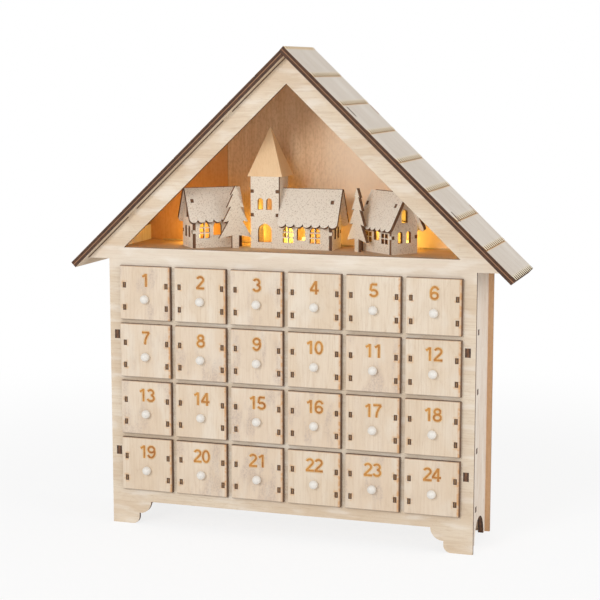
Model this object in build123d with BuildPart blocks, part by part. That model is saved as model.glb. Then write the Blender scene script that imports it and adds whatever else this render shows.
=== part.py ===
from build123d import *
import math
import os

# Advent calendar in the shape of a gabled house, laser-cut from plywood and slotted together.
# Millimetres, +Z up, +X to the viewer's right, front towards -Y.
# The origin is on the ground under the middle of the whole object.

# Sheet thicknesses and fits
panel_ply = 3.0
side_ply = 5.0
shelf_ply = 5.0
divider_ply = 3.0
roof_ply = 3.0
drawer_ply = 3.0
village_ply = 3.0
joint_play = 0.1
cut_overrun = 2.0

# House body: front and back panels share one outline
body_width = 345.0
body_depth = 79.0
apron_height = 22.0
apron_border = 11.7
sill_border = 16.4
wing_drop = 10.7
wing_length = 21.8
roof_pitch = 43.5
attic_border = 17.4
foot_width = 38.5
foot_step_width = 26.5
foot_step_height = 10.5
foot_toe_radius = 6.8

# Side panels, set in from the panel edges, with tenons through both panels
side_inset = 4.5
side_tenon_heights = [70.0, 180.4]
side_tenon_length = 8.0
arch_width = 41.0
arch_height = 21.4
arch_back_gap = 29.6

# Shelf tenons through the side panels
shelf_tenon_length = 6.0
shelf_tenon_setback = 33.2

# Roof: two layers of board on each slope, the right slope lapping over the left at the ridge
eave_overhang = 12.5
roof_front_overhang = 8.0
roof_tab_length = 11.5
roof_tab_distances = [76.0, 205.0]
shingle_pitch = 35.5
shingle_ticks = 11
shingle_tick_length = 5.5
shingle_tick_width = 3.6
shingle_tip_width = 0.3
shingle_cut_width = 0.8
shingle_cut_depth = 0.4

# Drawers, in a grid of cells
columns = 6
rows = 4
face_height = 50.0
face_gap = 4.3
row_gap = 3.8
tray_side_gap = 3.45
tray_top_gap = 8.3
tray_end_gap = 3.0
tray_lift = 0.9
drawer_play = 0.8
drawer_tenon_length = 5.0
drawer_tenon_shares = [0.224, 0.64]
tray_floor_rise = 1.0
tray_back_inset = 3.0
tray_tenon_length = 12.0
knob_radius = 4.0
knob_length = 6.5
knob_peg_radius = 1.5
knob_height_share = 0.39

# Village: gabled buildings of one cross-section, standing on the attic floor
house_depth = 28.5
house_wall_height = 26.9
house_roof_pitch = 61.5
house_finger_height = 14.9
house_finger_length = 3.0
house_tab_length = 3.6
house_tab_distance = 13.1
house_post_width = 6.0
house_lintel_height = 6.0
scallop_width = 8.0
paned_window_width = 9.9
paned_window_height = 14.5
window_bar = 1.0
arched_window_width = 8.0
arched_window_height = 12.0
arched_window_rise = 2.6
gable_window_width = 5.0
gable_window_height = 10.5
gable_window_sill = 9.6
gable_window_spacing = 9.5
loft_window_width = 6.6
loft_window_height = 12.0
loft_window_sill = 27.6

# Church
tower_width = 27.1
tower_height = 65.5
tower_left = -45.0
church_back_gap = 15.5
nave_length = 50.8
nave_gable_overhang = 6.0
nave_eave_overhang = 8.5
nave_window_sill = 5.75
nave_window_shares = [0.171, 0.417, 0.676]
spire_base = 33.4
spire_height = 44.0
spire_tip = 0.8
belfry_window_width = 5.4
belfry_window_height = 10.5
belfry_window_sill = 35.4
belfry_window_spacing = 8.4
door_width = 13.1
door_height = 16.8
door_sill = 5.6
tower_tenon_shares = [0.4656, 0.795]
tower_tenon_length = 3.0

# Cottages: place of the front wall's left end, measured from the church front, and the turn of the wall
cottage_window_sill = 8.8
cottage_window_shares = [0.245, 0.505, 0.775]
left_cottage_length = 48.0
left_cottage_x = -94.0
left_cottage_advance = 21.0
left_cottage_turn = 40.0
left_cottage_left_overhang = 3.8
left_cottage_right_overhang = 2.3
left_cottage_eave_overhang = 5.2
right_cottage_length = 46.0
right_cottage_x = 56.8
right_cottage_retreat = 11.9
right_cottage_turn = -39.0
right_cottage_left_overhang = 1.0
right_cottage_right_overhang = 5.5
right_cottage_eave_overhang = 8.5

# Fir trees: the left one stands before the church front, the right one in line with it
tree_height = 57.0
tree_width = 31.8
tree_tenon_length = 4.0
left_tree_x = -58.5
left_tree_advance = 5.0
left_tree_turn = 40.0
right_tree_x = 57.0
right_tree_turn = -41.5
tree_width_shares = [0.2, 0.2, 1.0, 0.4, 0.76, 0.27, 0.52, 0.14, 0.28]
tree_height_shares = [0.0, 0.205, 0.165, 0.44, 0.42, 0.67, 0.65, 0.87, 0.855]

# Lights: lamps on a pair of thin wires along the back wall of the attic
wire_diameter = 1.4
wire_back_gap = 5.5
wire_bend_radius = 4.8
wire_end_gap = 15.0
wire_spacing = 1.8
wire_hole_diameter = 4.6
lamp_diameter = 4.0
lamp_height = 6.0
lamp_place_shares = [-0.757, -0.351, -0.041, 0.419, 0.628, 0.98]

# Battery case on the outside of the back panel, over the wire hole, for two round cells
cell_diameter = 14.5
cell_length = 49.5
cell_nub_diameter = 5.5
cell_nub_length = 1.0
cell_play = 0.4
contact_thickness = 0.5
contact_width = 9.0
case_wall = 1.8
case_base = 1.5
case_lip = 1.0
case_drop = 4.0
cover_thickness = 1.6
cover_groove = 0.9
cover_play = 0.15
cover_ridges = 3
cover_ridge_width = 1.0
cover_ridge_length = 15.0
cover_ridge_setback = 9.0
switch_bay = 9.0
switch_flange = 1.0
switch_flange_margin = 3.0
switch_width = 4.0
switch_length = 4.0
switch_reach = 2.0
switch_travel = 3.0
switch_play = 0.2

# Places worked out from the sizes above
pitch = math.radians(roof_pitch)
roof_thickness = 2 * roof_ply
half_width = body_width / 2
side_outer = half_width - side_inset
side_inner = side_outer - side_ply
case_depth = case_base + cell_diameter + cell_play + cover_thickness + 2 * cover_play + case_lip
front_reach = max(drawer_ply + knob_length, roof_front_overhang)
front_y = (front_reach - body_depth - case_depth) / 2
interior_front = front_y + panel_ply
interior_back = front_y + body_depth - panel_ply
interior_depth = interior_back - interior_front
column_pitch = 2 * (side_inner - joint_play) / columns
row_pitch = face_height + row_gap
face_width = column_pitch - face_gap
lowest_face = apron_height + apron_border
tray_width = column_pitch - divider_ply - 2 * tray_side_gap
tray_height = face_height - tray_lift - tray_top_gap
tray_length = interior_depth - tray_end_gap
drawer_tenon_heights = [share * face_height for share in drawer_tenon_shares]
knob_height = knob_height_share * face_height
sill_height = lowest_face + rows * row_pitch - row_gap + sill_border
wing_height = sill_height - wing_drop
wing_reach = half_width + wing_length
gable_peak = wing_height + wing_reach * math.tan(pitch)
roof_run = wing_reach / math.cos(pitch) + eave_overhang
shingle_rows = math.floor(roof_run / shingle_pitch)
church_setback = body_depth - panel_ply - church_back_gap - house_depth
left_cottage_setback = church_setback - left_cottage_advance
right_cottage_setback = church_setback + right_cottage_retreat
left_tree_setback = church_setback - left_tree_advance
wire_reach = side_inner - wire_end_gap
lamp_places = [share * wire_reach for share in lamp_place_shares]
tower_tenon_heights = [share * tower_height for share in tower_tenon_shares]
case_bottom = sill_height - case_drop
attic_underside = sill_height - shelf_ply
opening_peak = gable_peak - attic_border / math.cos(pitch)
opening_half_width = (opening_peak - sill_height) / math.tan(pitch)
shelf_tops = [lowest_face + row * row_pitch + tray_lift for row in range(rows)]
divider_places = [(column - columns / 2) * column_pitch for column in range(1, columns)]
shelf_tenon_y = front_y + shelf_tenon_setback

os.makedirs("parts", exist_ok=True)


def write_piece(part, name):
    """Label one finished piece and write it."""
    part.label = name
    export_step(part, f"parts/{name}.step")


def write_group(pieces, name):
    """Write several separate solids as one node."""
    write_piece(Compound(children=list(pieces)), name)


def upright(y):
    """Plane facing the front, standing at depth y."""
    return Plane.XZ.offset(-y)


def on_site(site, plane):
    """The same plane, taken from the frame of a building or tree to the object's frame."""
    return Plane(site.location * plane.location)


def roof_plane(side, lift):
    """Plane on a roof slope: local x runs down the slope from the ridge, local y is side * Y."""
    down = (side * math.cos(pitch), 0, -math.sin(pitch))
    out = (side * math.sin(pitch), 0, math.cos(pitch))
    return Plane(origin=(out[0] * lift, 0, gable_peak + out[2] * lift), x_dir=down, z_dir=out)


def house_outline():
    """Outline of the front and back panels, with stepped feet, eave wings and roof tabs."""
    step_radius = apron_height - foot_step_height
    with BuildLine() as outline:
        Polyline((0, apron_height), (half_width - foot_width, apron_height))
        CenterArc((half_width - foot_width + step_radius, apron_height), step_radius, 180, 90)
        Polyline(
            (half_width - foot_width + step_radius, foot_step_height),
            (half_width - foot_step_width, foot_step_height),
            (half_width - foot_step_width, foot_toe_radius),
        )
        CenterArc((half_width - foot_step_width + foot_toe_radius, foot_toe_radius), foot_toe_radius, 180, 90)
        Polyline(
            (half_width - foot_step_width + foot_toe_radius, 0),
            (half_width, 0),
            (half_width, wing_height),
            (wing_reach, wing_height),
            (0, gable_peak),
        )
        mirror(about=Plane.YZ)
    make_face(outline.edges())
    for side in (-1, 1):
        for distance in roof_tab_distances:
            foot = (side * distance * math.cos(pitch), gable_peak - distance * math.sin(pitch))
            with Locations(foot):
                Rectangle(roof_tab_length, 2 * roof_thickness, rotation=-side * roof_pitch)


def side_tenon_mortises():
    """Mortises in the front and back panels for the side panels' tenons."""
    for side in (-1, 1):
        for height in side_tenon_heights:
            with Locations((side * (side_outer - side_ply / 2), height)):
                Rectangle(
                    side_ply + 2 * joint_play,
                    side_tenon_length + 2 * joint_play,
                    mode=Mode.SUBTRACT,
                )


# Front panel: one board with the drawer openings and the triangular attic opening
with BuildPart() as front_panel:
    with BuildSketch(upright(interior_front)):
        house_outline()
        side_tenon_mortises()
        with BuildLine():
            Polyline(
                (-opening_half_width, sill_height),
                (opening_half_width, sill_height),
                (0, opening_peak),
                close=True,
            )
        make_face(mode=Mode.SUBTRACT)
        for shelf_top in shelf_tops:
            with Locations((0, shelf_top)):
                with GridLocations(column_pitch, row_pitch, columns, 1):
                    Rectangle(
                        tray_width + 2 * drawer_play,
                        tray_height + drawer_play,
                        align=(Align.CENTER, Align.MIN),
                        mode=Mode.SUBTRACT,
                    )
    extrude(amount=panel_ply)
write_piece(front_panel.part, "front_panel")

# Back panel: the same outline, closed, with a small hole for the lamp wires
case_inner_length = cell_length + cell_nub_length + 2 * contact_thickness + cell_play
case_inner_height = 2 * cell_diameter + 3 * cell_play
case_length = case_inner_length + 3 * case_wall + switch_bay
case_height = case_inner_height + 2 * case_wall
case_left = -case_length / 2
bay_left = case_left + case_wall + case_inner_length + case_wall
wire_x = bay_left + switch_bay / 2
wire_z = sill_height + wire_diameter / 2
with BuildPart() as back_panel:
    with BuildSketch(upright(front_y + body_depth)):
        house_outline()
        side_tenon_mortises()
        with Locations((wire_x, wire_z)):
            Circle(wire_hole_diameter / 2, mode=Mode.SUBTRACT)
    extrude(amount=panel_ply)
write_piece(back_panel.part, "back_panel")


# Side panels: inset boards with an arched foot, tenoned through the front and back panels
def make_side_panel(side):
    side_top = gable_peak - side_outer * math.tan(pitch)
    start = side_inner if side > 0 else -side_outer
    with BuildPart() as panel:
        with BuildSketch(Plane.YZ.offset(start)):
            with Locations((interior_front, 0)):
                Rectangle(interior_depth, side_top, align=(Align.MIN, Align.MIN))
            for height in side_tenon_heights:
                with Locations((front_y + body_depth / 2, height)):
                    Rectangle(body_depth, side_tenon_length)
            with Locations((front_y + body_depth - arch_back_gap, 0)):
                Ellipse(arch_width / 2, arch_height, mode=Mode.SUBTRACT)
            for top in shelf_tops + [sill_height]:
                with Locations((shelf_tenon_y, top - shelf_ply / 2)):
                    Rectangle(
                        shelf_tenon_length + 2 * joint_play,
                        shelf_ply + 2 * joint_play,
                        mode=Mode.SUBTRACT,
                    )
        extrude(amount=side_ply)
    return panel.part


write_piece(make_side_panel(-1), "left_side_panel")
write_piece(make_side_panel(1), "right_side_panel")


# Shelves: four boards tenoned through the sides, the upper three cross-lapped with the dividers
def make_shelf(top, lapped):
    with BuildPart() as shelf:
        with BuildSketch(Plane.XY.offset(top - shelf_ply)):
            with Locations((0, interior_front + interior_depth / 2)):
                Rectangle(2 * side_inner, interior_depth)
            with Locations((0, shelf_tenon_y)):
                Rectangle(2 * side_outer, shelf_tenon_length)
            if lapped:
                for place in divider_places:
                    with Locations((place, interior_back - interior_depth / 2)):
                        Rectangle(
                            divider_ply + 2 * joint_play,
                            interior_depth / 2 + cut_overrun,
                            align=(Align.CENTER, Align.MIN),
                            mode=Mode.SUBTRACT,
                        )
        extrude(amount=shelf_ply)
    return shelf.part


for number, top in enumerate(shelf_tops):
    write_piece(make_shelf(top, number > 0), f"shelf_{number + 1}")


def village_site(x, setback, turn):
    """Frame of a building or tree: origin on the attic floor, local x along its width."""
    angle = math.radians(turn)
    return Plane(
        origin=(x, front_y + setback, sill_height),
        x_dir=(math.cos(angle), math.sin(angle), 0),
        z_dir=(0, 0, 1),
    )


left_tree_site = village_site(left_tree_x, left_tree_setback, left_tree_turn)
right_tree_site = village_site(right_tree_x, church_setback, right_tree_turn)

# Attic floor: flush with the sill, with a mortise under each tree
with BuildPart() as attic_floor:
    with BuildSketch(Plane.XY.offset(attic_underside)):
        with Locations((0, interior_front + interior_depth / 2)):
            Rectangle(2 * side_inner, interior_depth)
        with Locations((0, shelf_tenon_y)):
            Rectangle(2 * side_outer, shelf_tenon_length)
    extrude(amount=shelf_ply)
    for site in (left_tree_site, right_tree_site):
        with BuildSketch(site):
            Rectangle(tree_tenon_length + 2 * joint_play, village_ply + 2 * joint_play)
        extrude(amount=-shelf_ply, mode=Mode.SUBTRACT)
write_piece(attic_floor.part, "attic_floor")


# Dividers: upright boards between the columns, slotted from the front over the upper shelves
def make_divider(place):
    with BuildPart() as divider:
        with BuildSketch(Plane.YZ.offset(place - divider_ply / 2)):
            with Locations((interior_front, shelf_tops[0])):
                Rectangle(interior_depth, attic_underside - shelf_tops[0], align=(Align.MIN, Align.MIN))
            for top in shelf_tops[1:]:
                with Locations((interior_front + interior_depth / 2, top - shelf_ply / 2)):
                    Rectangle(
                        interior_depth / 2 + cut_overrun,
                        shelf_ply + 2 * joint_play,
                        align=(Align.MAX, Align.CENTER),
                        mode=Mode.SUBTRACT,
                    )
        extrude(amount=divider_ply)
    return divider.part


for number, place in enumerate(divider_places):
    write_piece(make_divider(place), f"divider_{number + 1}")


# Roof: an inner board and a shingle board on each slope, slotted over the panels' tabs
roof_depth = roof_front_overhang + body_depth
roof_middle = front_y - roof_front_overhang + roof_depth / 2


def roof_board_outline(side):
    lap = roof_thickness / math.sin(2 * pitch) if side > 0 else -roof_thickness / math.tan(2 * pitch)
    with Locations(((roof_run - lap) / 2, side * roof_middle)):
        Rectangle(roof_run + lap, roof_depth)
    for distance in roof_tab_distances:
        for panel_middle in (front_y + panel_ply / 2, front_y + body_depth - panel_ply / 2):
            with Locations((distance, side * panel_middle)):
                Rectangle(
                    roof_tab_length + 2 * joint_play,
                    panel_ply + 2 * joint_play,
                    mode=Mode.SUBTRACT,
                )


def make_roof_board(side):
    with BuildPart() as board:
        with BuildSketch(roof_plane(side, 0)):
            roof_board_outline(side)
        extrude(amount=roof_ply)
    return board.part


def shingle_tick_row(distance, side, mode):
    """One row of wedge cuts, narrowing up the slope from a shingle line."""
    lean = math.degrees(math.atan2(2 * shingle_tick_length, shingle_tick_width - shingle_tip_width))
    with Locations((distance - shingle_tick_length / 2, side * roof_middle)):
        with GridLocations(shingle_pitch, roof_depth / (shingle_ticks + 1), 1, shingle_ticks):
            Trapezoid(shingle_tick_width, shingle_tick_length, lean, rotation=90, mode=mode)


def make_shingle_board(side):
    with BuildPart() as board:
        with BuildSketch(roof_plane(side, roof_ply)):
            roof_board_outline(side)
            shingle_tick_row(roof_run, side, Mode.SUBTRACT)
        extrude(amount=roof_ply)
        with BuildSketch(roof_plane(side, roof_thickness)):
            for row in range(1, shingle_rows + 1):
                distance = roof_run - row * shingle_pitch
                with Locations((distance, side * roof_middle)):
                    Rectangle(shingle_cut_width, roof_depth)
                shingle_tick_row(distance, side, Mode.ADD)
        extrude(amount=-shingle_cut_depth, mode=Mode.SUBTRACT)
    return board.part


for side, side_name in ((-1, "left"), (1, "right")):
    write_piece(make_roof_board(side), f"roof_{side_name}_board")
    write_piece(make_shingle_board(side), f"roof_{side_name}_shingles")


# Drawers: a face with through tenons, two sides, a back, a floor and a turned knob.
# Each is made at its own zero: x at the middle, y at the back of the face, z at the face's foot.
tray_inner = tray_width / 2 - drawer_ply
tray_back_y = tray_length - tray_back_inset - drawer_ply
tray_middle_z = tray_lift + tray_height / 2
tray_floor_z = tray_lift + tray_floor_rise

with BuildPart() as drawer_face:
    with BuildSketch(Plane.XZ):
        Rectangle(face_width, face_height, align=(Align.CENTER, Align.MIN))
        for height in drawer_tenon_heights:
            with Locations((0, height)):
                with GridLocations(tray_width - drawer_ply, tray_width, 2, 1):
                    Rectangle(
                        drawer_ply + 2 * joint_play,
                        drawer_tenon_length + 2 * joint_play,
                        mode=Mode.SUBTRACT,
                    )
        with Locations((0, knob_height)):
            Circle(knob_peg_radius + joint_play, mode=Mode.SUBTRACT)
    extrude(amount=drawer_ply)


def make_tray_side(start):
    with BuildPart() as tray_side:
        with BuildSketch(Plane.YZ.offset(start)):
            with Locations((0, tray_lift)):
                Rectangle(tray_length, tray_height, align=(Align.MIN, Align.MIN))
            for height in drawer_tenon_heights:
                with Locations((0, height)):
                    Rectangle(2 * drawer_ply, drawer_tenon_length)
            with Locations((tray_back_y + drawer_ply / 2, tray_middle_z)):
                Rectangle(
                    drawer_ply + 2 * joint_play,
                    tray_tenon_length + 2 * joint_play,
                    mode=Mode.SUBTRACT,
                )
            with Locations((tray_back_y / 2, tray_floor_z + drawer_ply / 2)):
                Rectangle(
                    tray_tenon_length + 2 * joint_play,
                    drawer_ply + 2 * joint_play,
                    mode=Mode.SUBTRACT,
                )
        extrude(amount=drawer_ply)
    return tray_side.part


with BuildPart() as tray_back:
    with BuildSketch(upright(tray_back_y + drawer_ply)):
        with Locations((0, tray_lift)):
            Rectangle(2 * tray_inner, tray_height, align=(Align.CENTER, Align.MIN))
        with Locations((0, tray_middle_z)):
            Rectangle(tray_width, tray_tenon_length)
    extrude(amount=drawer_ply)

with BuildPart() as tray_floor:
    with BuildSketch(Plane.XY.offset(tray_floor_z)):
        Rectangle(2 * tray_inner, tray_back_y, align=(Align.CENTER, Align.MIN))
        with Locations((0, tray_back_y / 2)):
            Rectangle(tray_width, tray_tenon_length)
    extrude(amount=drawer_ply)

with BuildPart() as knob:
    with Locations((0, knob_radius - drawer_ply - knob_length, knob_height)):
        Sphere(knob_radius)
    split(bisect_by=Plane.XZ.offset(drawer_ply), keep=Keep.TOP)
    with BuildSketch(Plane.XZ):
        with Locations((0, knob_height)):
            Circle(knob_peg_radius)
    extrude(amount=drawer_ply)

drawer_pieces = {
    "face": drawer_face.part,
    "left_side": make_tray_side(-tray_width / 2),
    "right_side": make_tray_side(tray_inner),
    "back": tray_back.part,
    "floor": tray_floor.part,
    "knob": knob.part,
}

for number in range(columns * rows):
    column = number % columns
    row = rows - 1 - number // columns
    place = Location((
        (column - (columns - 1) / 2) * column_pitch,
        front_y,
        lowest_face + row * row_pitch,
    ))
    placed = []
    for piece_name, piece in drawer_pieces.items():
        moved = piece.moved(place)
        moved.label = piece_name
        placed.append(moved)
    write_group(placed, f"drawer_{number + 1:02d}")


# Village windows, cut in the sketch of a wall
def cut_arch(x, sill, width, height):
    with Locations((x, sill)):
        Rectangle(width, height - width / 2, align=(Align.CENTER, Align.MIN), mode=Mode.SUBTRACT)
    with Locations((x, sill + height - width / 2)):
        Circle(width / 2, mode=Mode.SUBTRACT)


def cut_paned_window(x, sill, width, height):
    cut_arch(x, sill, width, height)
    with Locations((x, sill + height / 2)):
        Rectangle(window_bar, height + window_bar)
    with Locations((x, sill + height / 3), (x, sill + 2 * height / 3)):
        Rectangle(width + window_bar, window_bar)


# Gabled building: two long walls fingered into two gables, and two roof plates over the gables' tabs.
# Where the left end stands against the tower, the long walls run past the gable there, which has no tabs.
house_pitch = math.radians(house_roof_pitch)
house_peak = house_wall_height + house_depth / 2 * math.tan(house_pitch)


def make_gable(site, start, between_walls):
    notch_height = 2 * house_peak if between_walls else house_finger_length + 2 * joint_play
    with BuildPart() as gable:
        with BuildSketch(on_site(site, Plane.YZ.offset(start))):
            with BuildLine():
                Polyline(
                    (0, 0),
                    (house_depth, 0),
                    (house_depth, house_wall_height),
                    (house_depth / 2, house_peak),
                    (0, house_wall_height),
                    close=True,
                )
            make_face()
            tabbed_slopes = () if between_walls else (-1, 1)
            for slope in tabbed_slopes:
                foot = (
                    house_depth / 2 + slope * house_tab_distance * math.cos(house_pitch),
                    house_peak - house_tab_distance * math.sin(house_pitch),
                )
                with Locations(foot):
                    Rectangle(house_tab_length, 2 * village_ply, rotation=-slope * house_roof_pitch)
            with Locations((0, house_finger_height), (house_depth, house_finger_height)):
                Rectangle(2 * (village_ply + joint_play), notch_height, mode=Mode.SUBTRACT)
            for step in (-1, 1):
                cut_arch(
                    house_depth / 2 + step * gable_window_spacing / 2,
                    gable_window_sill,
                    gable_window_width,
                    gable_window_height,
                )
            cut_arch(house_depth / 2, loft_window_sill, loft_window_width, loft_window_height)
        extrude(amount=village_ply)
    return gable.part


def long_wall_outline(length, past_left_gable):
    left_end = 0 if past_left_gable else village_ply
    with Locations((left_end, 0)):
        Rectangle(length - village_ply - left_end, house_wall_height, align=(Align.MIN, Align.MIN))
    with Locations((0, house_finger_height)):
        Rectangle(length, house_finger_length, align=(Align.MIN, Align.CENTER))


def make_front_wall(site, length, past_left_gable, window_shares, sill):
    """Front wall with paned windows and plain arched ones in turn."""
    with BuildPart() as wall:
        with BuildSketch(on_site(site, upright(village_ply))):
            long_wall_outline(length, past_left_gable)
            for number, share in enumerate(window_shares):
                if number % 2 == 0:
                    cut_paned_window(share * length, sill, paned_window_width, paned_window_height)
                else:
                    cut_arch(
                        share * length,
                        sill + arched_window_rise,
                        arched_window_width,
                        arched_window_height,
                    )
        extrude(amount=village_ply)
    return wall.part


def make_back_wall(site, length, past_left_gable):
    """Back wall: two posts and a lintel, open for the lamp light."""
    with BuildPart() as wall:
        with BuildSketch(on_site(site, upright(house_depth))):
            long_wall_outline(length, past_left_gable)
            with Locations((length / 2, 0)):
                Rectangle(
                    length - 2 * (village_ply + house_post_width),
                    house_wall_height - house_lintel_height,
                    align=(Align.CENTER, Align.MIN),
                    mode=Mode.SUBTRACT,
                )
        extrude(amount=village_ply)
    return wall.part


def make_roof_plate(site, length, left_overhang, right_overhang, eave_overhang, tabbed_gables, face):
    """Scalloped plate on one slope; face is -1 for the front slope and 1 for the back one."""
    house_slope = house_depth / 2 / math.cos(house_pitch) + eave_overhang
    slope_plane = Plane(
        origin=(0, house_depth / 2, house_peak),
        x_dir=(-face, 0, 0),
        z_dir=(0, face * math.sin(house_pitch), math.cos(house_pitch)),
    )
    span = length + left_overhang + right_overhang
    scallops = round(span / scallop_width)
    radius = span / scallops / 2
    middle = -face * ((length + right_overhang - left_overhang) / 2)
    with BuildPart() as plate:
        with BuildSketch(on_site(site, slope_plane)):
            with Locations((middle, -joint_play)):
                Rectangle(span, house_slope - joint_play - radius, align=(Align.CENTER, Align.MAX))
            with Locations((middle, radius - house_slope)):
                with GridLocations(2 * radius, 2 * radius, scallops, 1):
                    Circle(radius)
            for gable_middle in tabbed_gables:
                with Locations((-face * gable_middle, -house_tab_distance)):
                    Rectangle(
                        village_ply + 2 * joint_play,
                        house_tab_length + 2 * joint_play,
                        mode=Mode.SUBTRACT,
                    )
        extrude(amount=village_ply)
    return plate.part


def write_gabled_house(
    name, site, length, left_overhang, right_overhang, eave_overhang, window_shares, sill, by_tower=False
):
    walls = [
        make_front_wall(site, length, by_tower, window_shares, sill),
        make_back_wall(site, length, by_tower),
        make_gable(site, 0, by_tower),
        make_gable(site, length - village_ply, False),
    ]
    write_group(walls, f"{name}_walls")
    tabbed_gables = [length - village_ply / 2]
    if not by_tower:
        tabbed_gables.append(village_ply / 2)
    plates = [
        make_roof_plate(site, length, left_overhang, right_overhang, eave_overhang, tabbed_gables, face)
        for face in (-1, 1)
    ]
    write_group(plates, f"{name}_roof")


tower_site = village_site(tower_left, church_setback, 0)
nave_site = village_site(tower_left + tower_width, church_setback, 0)
left_cottage_site = village_site(left_cottage_x, left_cottage_setback, left_cottage_turn)
right_cottage_site = village_site(right_cottage_x, right_cottage_setback, right_cottage_turn)
write_gabled_house(
    "church_nave", nave_site, nave_length,
    0, nave_gable_overhang, nave_eave_overhang,
    nave_window_shares, nave_window_sill, by_tower=True,
)
write_gabled_house(
    "left_cottage", left_cottage_site, left_cottage_length,
    left_cottage_left_overhang, left_cottage_right_overhang, left_cottage_eave_overhang,
    cottage_window_shares, cottage_window_sill,
)
write_gabled_house(
    "right_cottage", right_cottage_site, right_cottage_length,
    right_cottage_left_overhang, right_cottage_right_overhang, right_cottage_eave_overhang,
    cottage_window_shares, cottage_window_sill,
)

# Church tower: a front wall with the side walls' tenons through it, open at the back for the lamp light
with BuildPart() as tower_front:
    with BuildSketch(on_site(tower_site, upright(village_ply))):
        Rectangle(tower_width, tower_height, align=(Align.MIN, Align.MIN))
        for height in tower_tenon_heights:
            with Locations((tower_width / 2, height)):
                with GridLocations(tower_width - village_ply, tower_width, 2, 1):
                    Rectangle(
                        village_ply + 2 * joint_play,
                        tower_tenon_length + 2 * joint_play,
                        mode=Mode.SUBTRACT,
                    )
        cut_arch(tower_width / 2, door_sill, door_width, door_height)
        for step in (-1, 1):
            cut_arch(
                tower_width / 2 + step * belfry_window_spacing / 2,
                belfry_window_sill,
                belfry_window_width,
                belfry_window_height,
            )
    extrude(amount=village_ply)


def make_tower_side(start):
    with BuildPart() as wall:
        with BuildSketch(on_site(tower_site, Plane.YZ.offset(start))):
            with Locations((village_ply, 0)):
                Rectangle(tower_width - village_ply, tower_height, align=(Align.MIN, Align.MIN))
            for height in tower_tenon_heights:
                with Locations((0, height)):
                    Rectangle(tower_width / 2, tower_tenon_length, align=(Align.MIN, Align.CENTER))
        extrude(amount=village_ply)
    return wall.part


write_group(
    [tower_front.part, make_tower_side(0), make_tower_side(tower_width - village_ply)],
    "church_tower",
)

# Spire: a solid block sawn to a pyramid, glued on the tower walls flush with the tower's front
with BuildPart() as church_spire:
    spire_foot = (tower_left + tower_width / 2, front_y + church_setback + spire_base / 2)
    with BuildSketch(Plane.XY.offset(sill_height + tower_height)):
        with Locations(spire_foot):
            Rectangle(spire_base, spire_base)
    with BuildSketch(Plane.XY.offset(sill_height + tower_height + spire_height)):
        with Locations(spire_foot):
            Rectangle(spire_tip, spire_tip)
    loft()
write_piece(church_spire.part, "church_spire")


# Fir trees: flat cut-outs standing in mortises of the attic floor
def make_tree(site):
    corners = [
        (tree_width / 2 * across, tree_height * up)
        for across, up in zip(tree_width_shares, tree_height_shares)
    ]
    with BuildPart() as tree:
        with BuildSketch(on_site(site, upright(village_ply / 2))):
            with BuildLine():
                Polyline((0, 0), *corners, (0, tree_height))
                mirror(about=Plane.YZ)
            make_face()
            with Locations((0, 0)):
                Rectangle(tree_tenon_length, 2 * shelf_ply)
        extrude(amount=village_ply)
    return tree.part


write_piece(make_tree(left_tree_site), "left_tree")
write_piece(make_tree(right_tree_site), "right_tree")

# Lamp wires: from the switch bay through the back panel, then left and right along the attic floor
wire_y = interior_back - wire_back_gap
wire_start_y = front_y + body_depth + case_base + wire_bend_radius
wires = []
for side in (-1, 1):
    start_x = wire_x + side * wire_spacing / 2
    with BuildPart() as wire:
        with BuildLine() as wire_route:
            FilletPolyline(
                (start_x, wire_start_y, wire_z),
                (start_x, wire_y, wire_z),
                (side * wire_reach, wire_y, wire_z),
                radius=wire_bend_radius,
            )
        with BuildSketch(Plane(origin=(start_x, wire_start_y, wire_z), z_dir=(0, -1, 0))):
            Circle(wire_diameter / 2)
        sweep()
    print("wire", side, "length", round(wire_route.wires()[0].length, 2), "bend radius", wire_bend_radius)
    print("wire", side, "volume", round(wire.part.volume, 2))
    wires.append(wire.part)
write_group(wires, "lamp_wires")

# Lamps: small domed bulbs glued on the wires
lamps = []
for place in lamp_places:
    with BuildPart() as lamp:
        with Locations((place, wire_y, sill_height + wire_diameter)):
            Cylinder(
                lamp_diameter / 2,
                lamp_height - lamp_diameter / 2,
                align=(Align.CENTER, Align.CENTER, Align.MIN),
            )
        with Locations((place, wire_y, sill_height + wire_diameter + lamp_height - lamp_diameter / 2)):
            Sphere(lamp_diameter / 2)
    lamps.append(lamp.part)
write_group(lamps, "lamps")

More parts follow.
